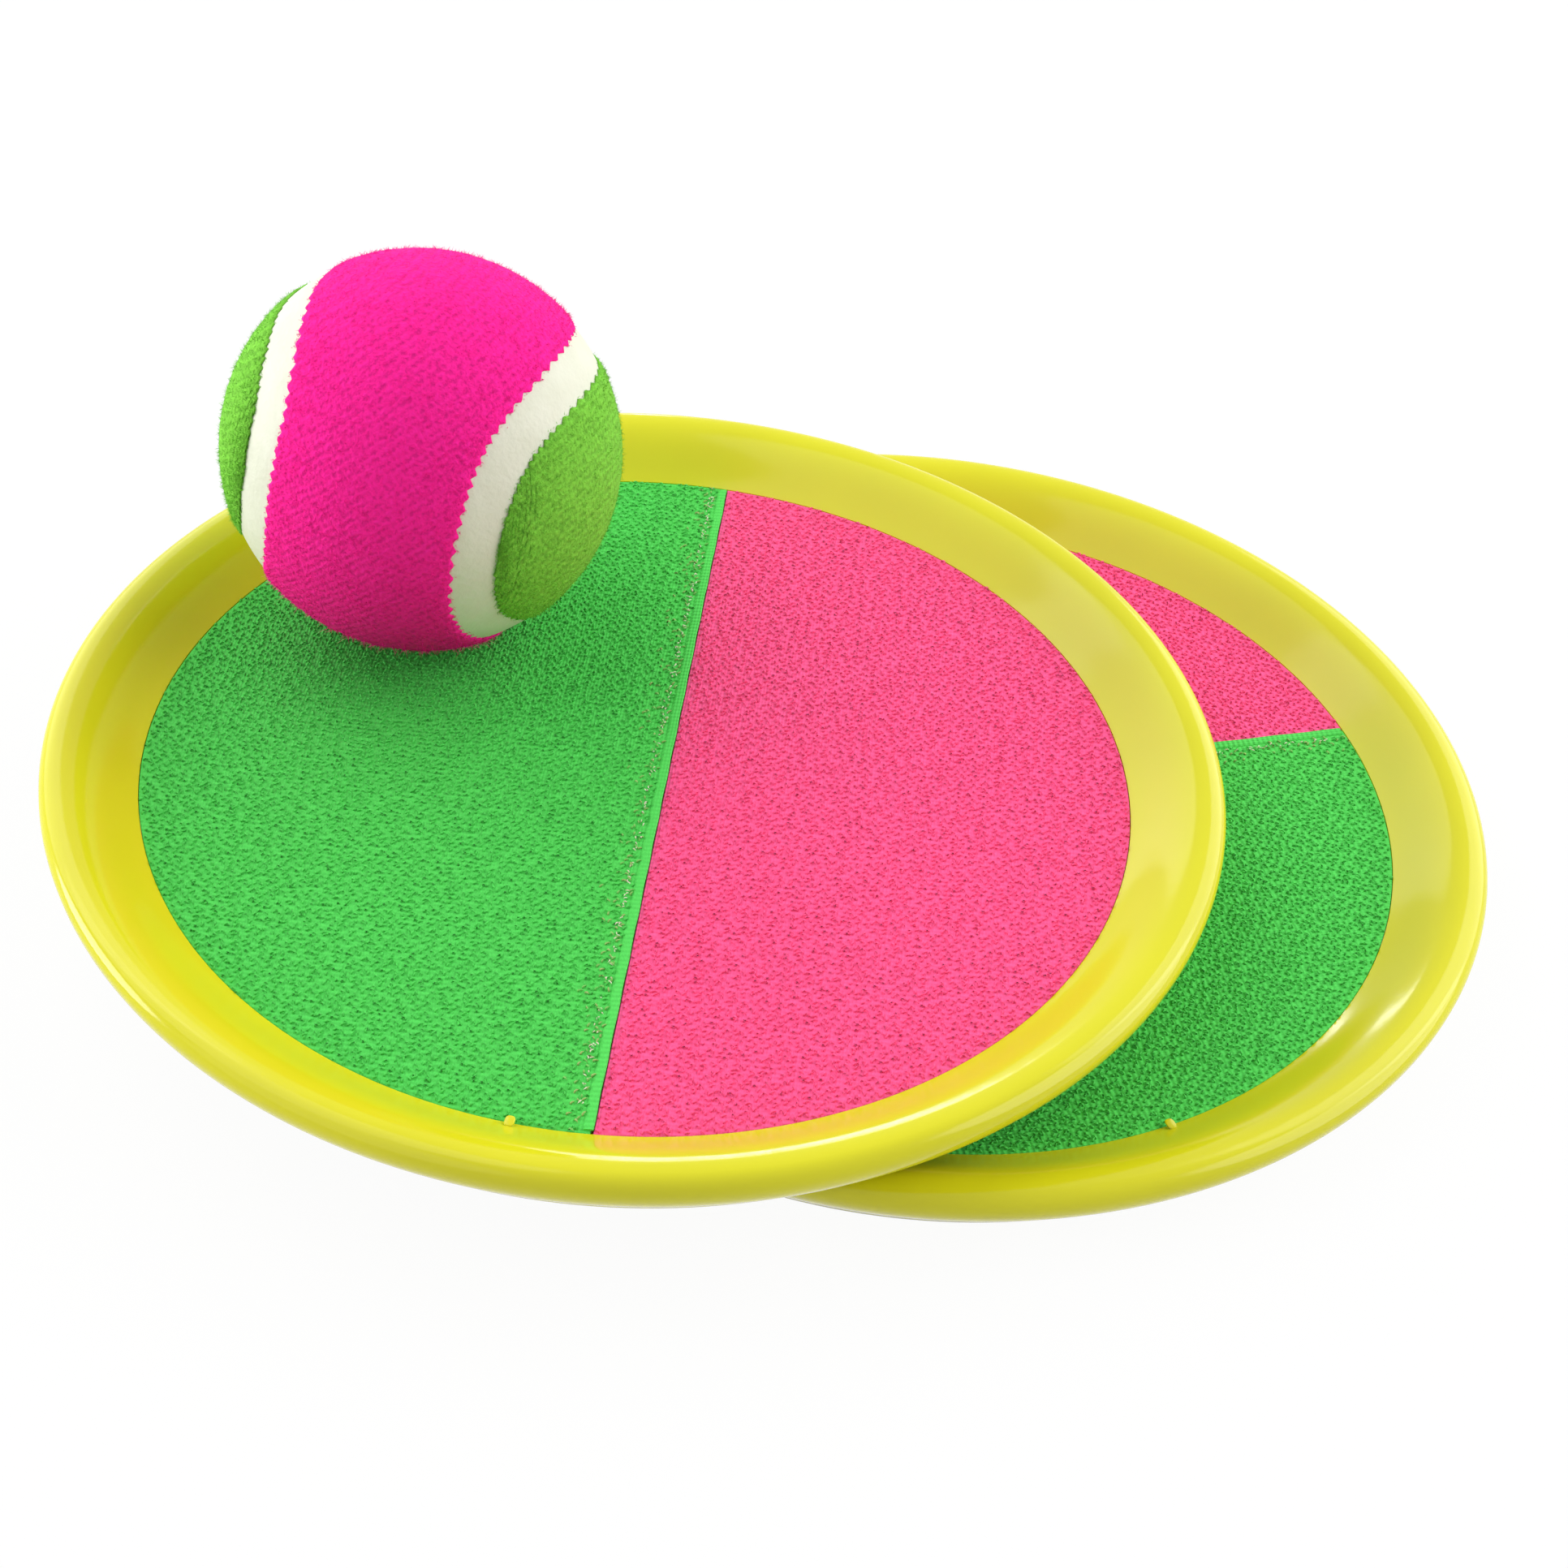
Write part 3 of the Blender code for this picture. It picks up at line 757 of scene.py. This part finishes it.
def selvedge_form():
    """The green piece's smooth woven edge, a low rounded band along the division."""
    edge = DIVISION_OFFSET - FABRIC_JOINT / 2
    half = math.sqrt((FACE_RADIUS - SELVEDGE_END_ROOM) ** 2 - edge**2)
    base = FACE_HEIGHT - GROUND_DROP
    points = []
    for step in range(SELVEDGE_STATIONS + 1):
        x = -half + 2 * half * step / SELVEDGE_STATIONS
        wave = SELVEDGE_WAVE * math.sin(x / SELVEDGE_WAVE_RUN)
        outer = edge + SELVEDGE_LAP + wave
        points += [(x, outer + out * MM, base + up * MM) for out, up in SELVEDGE_SECTION]
    return points, loft_faces(len(SELVEDGE_SECTION), SELVEDGE_STATIONS)


def thread_ends(name, place, turn, seed):
    """Pale thread ends caught among the hooks in a line just inside the selvedge."""
    random = np.random.default_rng(seed)
    edge = DIVISION_OFFSET - FABRIC_JOINT / 2
    half = FACE_RADIUS - THREAD_END_ROOM
    x = random.uniform(-half, half, THREAD_COUNT)
    inset = np.abs(random.normal(THREAD_INSET, THREAD_INSET_SPREAD, THREAD_COUNT))
    length = random.uniform(*THREAD_LENGTHS, THREAD_COUNT) * MM
    aim = math.pi / 2 + random.normal(0, THREAD_TURN_SPREAD, THREAD_COUNT)
    share = np.linspace(-0.5, 0.5, len(THREAD_RADII))
    arch = 1 - 4 * share**2
    bow = random.normal(0, THREAD_BOW, THREAD_COUNT)[:, None] * arch
    sink = random.uniform(0.0, THREAD_SINK, THREAD_COUNT) * MM
    lines = np.empty((THREAD_COUNT, len(THREAD_RADII), 3))
    lines[..., 0] = x[:, None] + np.sin(aim)[:, None] * length[:, None] * share + bow * np.cos(aim)[:, None]
    lines[..., 1] = edge - inset[:, None] + np.cos(aim)[:, None] * length[:, None] * share + bow
    lines[..., 2] = (FACE_HEIGHT - sink)[:, None] + THREAD_BOW * arch
    points, faces, _ = tubes(lines, np.array(THREAD_RADII) * MM, 4)
    return piece(name, points, faces, "thread", "green_fabric", place, turn, sharp=0)


def fabric(name, place, turn, seed):
    """Both pieces of hook fabric on a paddle's face, the green one with its selvedge."""
    selvedge = piece(f"{name}_selvedge", *selvedge_form(), "green_ground", "green_fabric", place, turn)
    threads = thread_ends(f"{name}_thread_ends", place, turn, seed + 2)
    for offset, (side, colour) in enumerate(((-1, "green"), (1, "pink"))):
        slot = colour + "_fabric"
        ground = piece(f"{name}_{colour}_ground", *ground_form(side), colour + "_ground", slot, place, turn,
                       (f"{name}_{colour}_hooks",))
        hooks = hook_rows(f"{name}_{colour}_hook_rows", side, colour, place, turn, seed + offset)


# Hand straps

def smooth_step(value):
    value = min(max(value, 0.0), 1.0)
    return value * value * (3 - 2 * value)


def tape_top(reach, bow, layer):
    """Height of a tape's upper side, at a distance from the middle towards its own studs."""
    across = min(abs(reach) / TAPE_BEND_REACH, 1.0)
    bend = bow * (1 - across**2) ** 2
    step_start = TAPE_OVERLAP / 2 + TAPE_STEP_ROOM
    lowered = 1 - smooth_step((reach - step_start) / TAPE_STEP_RUN)
    return PLATE_UNDER - SEAT_GAP - bend - layer * lowered * (TAPE_THICK + SEAT_GAP)


def tape(name, node, place, turn, end, bow, layer):
    """One half of a hand strap, from its studs past the middle. Layer 1 closes under layer 0."""
    far = STUD_REACH + TAPE_END
    length = far + TAPE_OVERLAP / 2
    half, flat_half = TAPE_WIDTH / 2, TAPE_WIDTH / 2 - TAPE_EDGE
    low_edge = TAPE_THICK - TAPE_EDGE
    section = (
        (flat_half, 0.0), (-flat_half, 0.0), (-half, TAPE_EDGE), (-half, low_edge),
        (-flat_half, TAPE_THICK), (flat_half, TAPE_THICK), (half, low_edge), (half, TAPE_EDGE),
    )
    points = []
    for step in range(TAPE_STATIONS + 1):
        reach = far - length * step / TAPE_STATIONS
        top = tape_top(reach, bow, layer)
        points += [(end * reach, side, top - drop) for side, drop in section]
    faces = loft_faces(len(section), TAPE_STATIONS)
    made = piece(name, points, faces, "tape", "tape", place, turn, (node,))


def strap(name, place, turn, bow):
    tape(name + "_strap_hooks", name + "_strap_hook_tape", place, turn, 1, bow, 0)
    tape(name + "_strap_loops", name + "_strap_loop_tape", place, turn, -1, bow, 1)


# Ball

def seam_points(angles):
    """Points of the closed seam that parts a unit sphere into two like panels."""
    wide = 1 - SEAM_SHARE
    rise = 2 * math.sqrt(wide * SEAM_SHARE)
    x = wide * np.cos(angles) + SEAM_SHARE * np.cos(3 * angles)
    y = wide * np.sin(angles) - SEAM_SHARE * np.sin(3 * angles)
    z = rise * np.sin(2 * angles) + SEAM_SQUARENESS * np.sin(6 * angles)
    points = np.stack([x, y, z], axis=-1)
    return points / np.linalg.norm(points, axis=-1, keepdims=True)


def panel_edge(angles, ragged):
    """The felt's cut edge beside the seam, ragged in small teeth."""
    nearby = 1e-4
    middle_line = seam_points(angles)
    along = seam_points(angles + nearby) - seam_points(angles - nearby)
    inward = np.cross(middle_line, along)
    inward /= np.linalg.norm(inward, axis=1)[:, None]
    half = (SEAM_WIDTH / 2 + ragged)[:, None] / CORE_RADIUS
    return middle_line * np.cos(half) + inward * np.sin(half)


def slerp(first, second, share):
    """Directions at a share of the way between two, along the great circle."""
    angle = np.arccos(np.clip((first * second).sum(-1, keepdims=True), -1, 1))
    spread = np.maximum(np.sin(angle), 1e-9)
    return (np.sin((1 - share) * angle) * first + np.sin(share * angle) * second) / spread


def teeth(angles, depth, random):
    """How far each stretch of the edge stands back, in a saw of small teeth with some scatter."""
    period = TOOTH_PITCH / CORE_RADIUS / SEAM_STRETCH
    phase = (angles / period + TOOTH_DRIFT * np.sin(angles * TOOTH_DRIFT_RATE)) % 1.0
    saw = np.abs(phase - 0.5) * 2 - 0.5
    rough = random.normal(0, 1, len(angles) + TOOTH_SMOOTHING - 1)
    scatter = np.convolve(rough, np.ones(TOOTH_SMOOTHING) / TOOTH_SMOOTHING, "valid")
    return saw * depth + scatter * TOOTH_SCATTER


def felt_rise(depth):
    """Height of the felt over the core, at a depth in from its cut edge."""
    share = np.clip(depth / FELT_SHOULDER, 0, 1)
    return FELT_PROUD * (FELT_EDGE_SHARE + (1 - FELT_EDGE_SHARE) * np.sqrt(1 - (1 - share) ** 2))


def felt(name, node, colour, other_side, tooth, seed):
    """One of the two felt pieces, a thick dog-bone sheet with a toothed edge, and its fuzz."""
    random = np.random.default_rng(seed)
    angles = -math.pi / 4 + np.linspace(0, math.pi, PANEL_ROWS + 1)
    left = panel_edge(angles, teeth(angles, tooth, random))
    right = panel_edge(1.5 * math.pi - angles, teeth(1.5 * math.pi - angles, tooth, random))
    for tip in (0, -1):
        between = left[tip] + right[tip]
        left[tip] = right[tip] = between / np.linalg.norm(between)
    even = np.linspace(0, 1, PANEL_ACROSS + 1)
    closer_at_edges = (1 - np.cos(math.pi * even)) / 2
    share = 0.5 * closer_at_edges + 0.5 * even
    grid = slerp(left[1:-1, None], right[1:-1, None], share[None, :, None])
    rows, across = grid.shape[:2]

    edge = np.concatenate([left, right])
    flat = grid.reshape(-1, 3)
    chunks = np.array_split(flat, NEAREST_CHUNKS)
    nearest = np.concatenate([(chunk @ edge.T).max(axis=1) for chunk in chunks])
    depth = np.arccos(np.clip(nearest, -1, 1)) * CORE_RADIUS
    ripple = random.normal(0, FELT_RIPPLE, len(flat))
    radius = CORE_RADIUS + felt_rise(depth) + ripple * (depth > FELT_RIPPLE_START)
    outer = flat * radius[:, None]
    inner_radius = CORE_RADIUS + RUBBER_PROUD + FELT_UNDER_ROOM
    inner_share = np.array(PANEL_UNDER_SHARES)
    inner = slerp(left[1:-1, None], right[1:-1, None], inner_share[None, :, None]).reshape(-1, 3)
    inner = inner * inner_radius
    tips = np.array([left[0], left[-1]])
    points = np.concatenate([outer, inner, tips * (CORE_RADIUS + felt_rise(0.0)), tips * inner_radius])

    faces = []
    start, wide = len(outer), len(inner_share)
    for row in range(rows - 1):
        a, b = row * across, (row + 1) * across
        faces += [(a + k, a + k + 1, b + k + 1, b + k) for k in range(across - 1)]
        c, d = start + row * wide, start + (row + 1) * wide
        faces += [(c + k, d + k, d + k + 1, c + k + 1) for k in range(wide - 1)]
        faces.append((a, b, d, c))
        faces.append((a + across - 1, c + wide - 1, d + wide - 1, b + across - 1))
    last, last_inner = (rows - 1) * across, start + (rows - 1) * wide
    tip = len(outer) + len(inner)
    outer_low, outer_high, inner_low, inner_high = range(tip, tip + 4)
    faces += [(k, outer_low, k + 1) for k in range(across - 1)]
    faces += [(last + k + 1, outer_high, last + k) for k in range(across - 1)]
    faces += [(start + k + 1, inner_low, start + k) for k in range(wide - 1)]
    faces += [(last_inner + k, inner_high, last_inner + k + 1) for k in range(wide - 1)]
    faces.append((0, start, inner_low, outer_low))
    faces.append((across - 1, outer_low, inner_low, start + wide - 1))
    faces.append((last, outer_high, inner_high, last_inner))
    faces.append((last + across - 1, last_inner + wide - 1, inner_high, outer_high))
    if other_side:
        points = np.column_stack([-points[:, 1], points[:, 0], -points[:, 2]])
    else:
        faces = [tuple(reversed(face)) for face in faces]
    made = piece(name, points, faces, colour, colour + "_felt", BALL_PLACE, ball_turn(), (node,), sharp=0)
    nap = fuzz(name + "_fuzz", points[: len(outer)], depth, colour, seed + 1)


def fuzz(name, surface, depth, colour, seed):
    """Short loose fibres over the felt, tilted every way, some pulled long where the hooks hold them."""
    random = np.random.default_rng(seed)
    down = np.array(ball_turn()).T @ (0.0, 0.0, -1.0)
    picked = random.integers(0, len(surface), FUZZ_COUNT * 2)
    height = np.linalg.norm(surface[picked], axis=1)
    picked = picked[random.random(len(picked)) < height / height.max()][:FUZZ_COUNT]
    root = surface[picked]
    height = np.linalg.norm(root, axis=1)
    out = root / height[:, None]
    base = root + random.normal(0, FUZZ_SCATTER, root.shape)
    base -= out * ((base * out).sum(1) - height + FUZZ_ROOT)[:, None]
    side = np.cross(out, random.normal(0, 1, out.shape))
    side /= np.linalg.norm(side, axis=1)[:, None]
    tilt = random.uniform(*FUZZ_TILTS, len(out))[:, None]
    aim = out * np.cos(tilt) + side * np.sin(tilt)
    length = random.uniform(*FUZZ_LENGTHS, len(out)) * MM
    length *= np.clip(depth[picked] / MM, FUZZ_EDGE_SHARE, 1.0)
    under = np.clip((out @ down - PULLED_FROM) / PULLED_FADE, 0, 1)
    pulled = random.random(len(out)) < PULLED_SHARE * under
    length *= np.where(pulled, random.uniform(*PULLED_TIMES, len(out)), 1.0)
    lines = np.stack([base, base + aim * length[:, None]], axis=1)
    points, faces, each = tubes(lines, np.array(FUZZ_RADII) * MM)
    made = piece(name, points, faces, colour + "_fuzz", colour + "_felt", BALL_PLACE, ball_turn(), sharp=0)
    spread_attribute(made, "tint", random.random(len(picked)), each)
    return made


def ball_turn():
    """How the ball lies: its magenta waist faces forward, and the panel stands nearly upright."""
    level = math.cos(POLE_LIFT)
    pole = Vector((level * math.cos(POLE_BEARING), level * math.sin(POLE_BEARING), math.sin(POLE_LIFT)))
    up = Vector((0, 0, 1))
    up = (up - up.dot(pole) * pole).normalized()
    long_way = math.cos(BALL_LEAN) * up + math.sin(BALL_LEAN) * up.cross(pole)
    short_way = pole.cross(long_way)
    x = (long_way + short_way) / math.sqrt(2)
    y = (short_way - long_way) / math.sqrt(2)
    return Matrix((x, y, pole)).transposed()


def ball():
    radius = CORE_RADIUS + RUBBER_PROUD
    angles = np.arange(1, RUBBER_ROWS) * math.pi / RUBBER_ROWS
    rings = [(radius * math.sin(angle), radius * math.cos(angle)) for angle in angles]
    rubber = revolve([(0.0, radius), *rings, (0.0, -radius)], 2 * RUBBER_ROWS)
    piece("ball_rubber", *rubber, "rubber", "rubber", BALL_PLACE, ball_turn(), ("ball_core",))
    felt("magenta_felt", "ball_magenta_felt", "magenta", False, MAGENTA_TOOTH, 11)
    felt("lime_felt", "ball_lime_felt", "lime", True, LIME_TOOTH, 21)


# Set

def the_set():
    shell("lower", LOWER_PLACE, LOWER_SHELL_TURN)
    shell("upper", UPPER_PLACE, UPPER_SHELL_TURN)
    fabric("lower", LOWER_PLACE, LOWER_FABRIC_TURN, 101)
    fabric("upper", UPPER_PLACE, UPPER_FABRIC_TURN, 201)
    upper_bow = UPPER_PLACE.z - FACE_HEIGHT
    strap("lower", LOWER_PLACE, LOWER_SHELL_TURN + STRAP_TURN, 0.0)
    strap("upper", UPPER_PLACE, UPPER_SHELL_TURN + STRAP_TURN, upper_bow)
    ball()


# Stage

def white_background(tree, lit, strength_socket):
    """The strength that lights the set, but plain white for the rays that see the background itself."""
    rays = tree.nodes.new("ShaderNodeLightPath")
    seen = None
    for ray in ("Is Camera Ray", "Is Glossy Ray", "Is Transmission Ray"):
        if seen is None:
            seen = rays.outputs[ray]
            continue
        both = tree.nodes.new("ShaderNodeMath")
        both.operation = "MAXIMUM"
        tree.links.new(seen, both.inputs[0])
        tree.links.new(rays.outputs[ray], both.inputs[1])
        seen = both.outputs[0]
    chosen = tree.nodes.new("ShaderNodeMapRange")
    chosen.inputs["To Min"].default_value = lit
    chosen.inputs["To Max"].default_value = 1.0
    tree.links.new(seen, chosen.inputs["Value"])
    tree.links.new(chosen.outputs["Result"], strength_socket)
    return seen


def stage():
    """A pale floor that keeps a little of the set's shadow."""
    mesh = bpy.data.meshes.new("floor")
    corners = [(x * FLOOR_REACH, y * FLOOR_REACH, 0) for x, y in ((-1, -1), (1, -1), (1, 1), (-1, 1))]
    mesh.from_pydata(corners, [], [(0, 1, 2, 3)])
    floor = bpy.data.objects.new("floor", mesh)
    floor.location.z = -FLOOR_DROP
    bpy.context.scene.collection.objects.link(floor)
    finish = bpy.data.materials.new("pale_floor")
    finish.use_nodes = True
    tree = finish.node_tree
    output = tree.nodes["Material Output"]
    tree.nodes.remove(tree.nodes["Principled BSDF"])
    paper = tree.nodes.new("ShaderNodeBsdfDiffuse")
    paper.inputs["Color"].default_value = (*FLOOR_PAPER, 1)
    glow = tree.nodes.new("ShaderNodeEmission")
    blend = tree.nodes.new("ShaderNodeMixShader")
    tree.links.new(paper.outputs[0], blend.inputs[1])
    tree.links.new(glow.outputs[0], blend.inputs[2])
    tree.links.new(blend.outputs[0], output.inputs["Surface"])
    seen = white_background(tree, 1.0, glow.inputs["Strength"])
    share = tree.nodes.new("ShaderNodeMath")
    share.operation = "MULTIPLY"
    share.inputs[1].default_value = FLOOR_GLOW
    tree.links.new(seen, share.inputs[0])
    tree.links.new(share.outputs[0], blend.inputs[0])
    mesh.materials.append(finish)


def lights():
    world = bpy.data.worlds.new("studio")
    bpy.context.scene.world = world
    world.use_nodes = True
    background = world.node_tree.nodes["Background"]
    background.inputs["Color"].default_value = (1, 1, 1, 1)
    white_background(world.node_tree, WORLD_LIGHT, background.inputs["Strength"])
    aim = Vector(LAMP_AIM)
    for name, direction, power, (form, width, height) in LAMPS:
        lamp = bpy.data.lights.new(name, "AREA")
        lamp.shape = form
        lamp.size, lamp.size_y = width, height
        lamp.energy = power
        made = bpy.data.objects.new(name, lamp)
        made.location = aim + LAMP_REACH * Vector(direction)
        made.rotation_euler = Vector(direction).to_track_quat("Z", "Y").to_euler()
        bpy.context.scene.collection.objects.link(made)


def camera():
    data = bpy.data.cameras.new("camera")
    data.sensor_width = SENSOR
    data.lens = FOCAL_PIXELS / PHOTO_PIXELS * SENSOR
    data.shift_x = (PHOTO_PIXELS / 2 - CENTRE_PIXELS[0]) / PHOTO_PIXELS
    data.shift_y = (CENTRE_PIXELS[1] - PHOTO_PIXELS / 2) / PHOTO_PIXELS
    data.clip_start = CLIP_START
    forward = Vector((0, math.cos(CAMERA_PITCH), -math.sin(CAMERA_PITCH)))
    level = Vector((1, 0, 0))
    below = forward.cross(level)
    right = math.cos(CAMERA_ROLL) * level + math.sin(CAMERA_ROLL) * below
    down = -math.sin(CAMERA_ROLL) * level + math.cos(CAMERA_ROLL) * below
    turn = Matrix((right, -down, -forward)).transposed()
    made = bpy.data.objects.new("camera", data)
    made.matrix_world = Matrix.Translation(CAMERA_PLACE) @ turn.to_4x4()
    bpy.context.scene.collection.objects.link(made)
    bpy.context.scene.camera = made


bpy.context.scene.view_settings.view_transform = "Standard"
camera()
the_set()
stage()
lights()
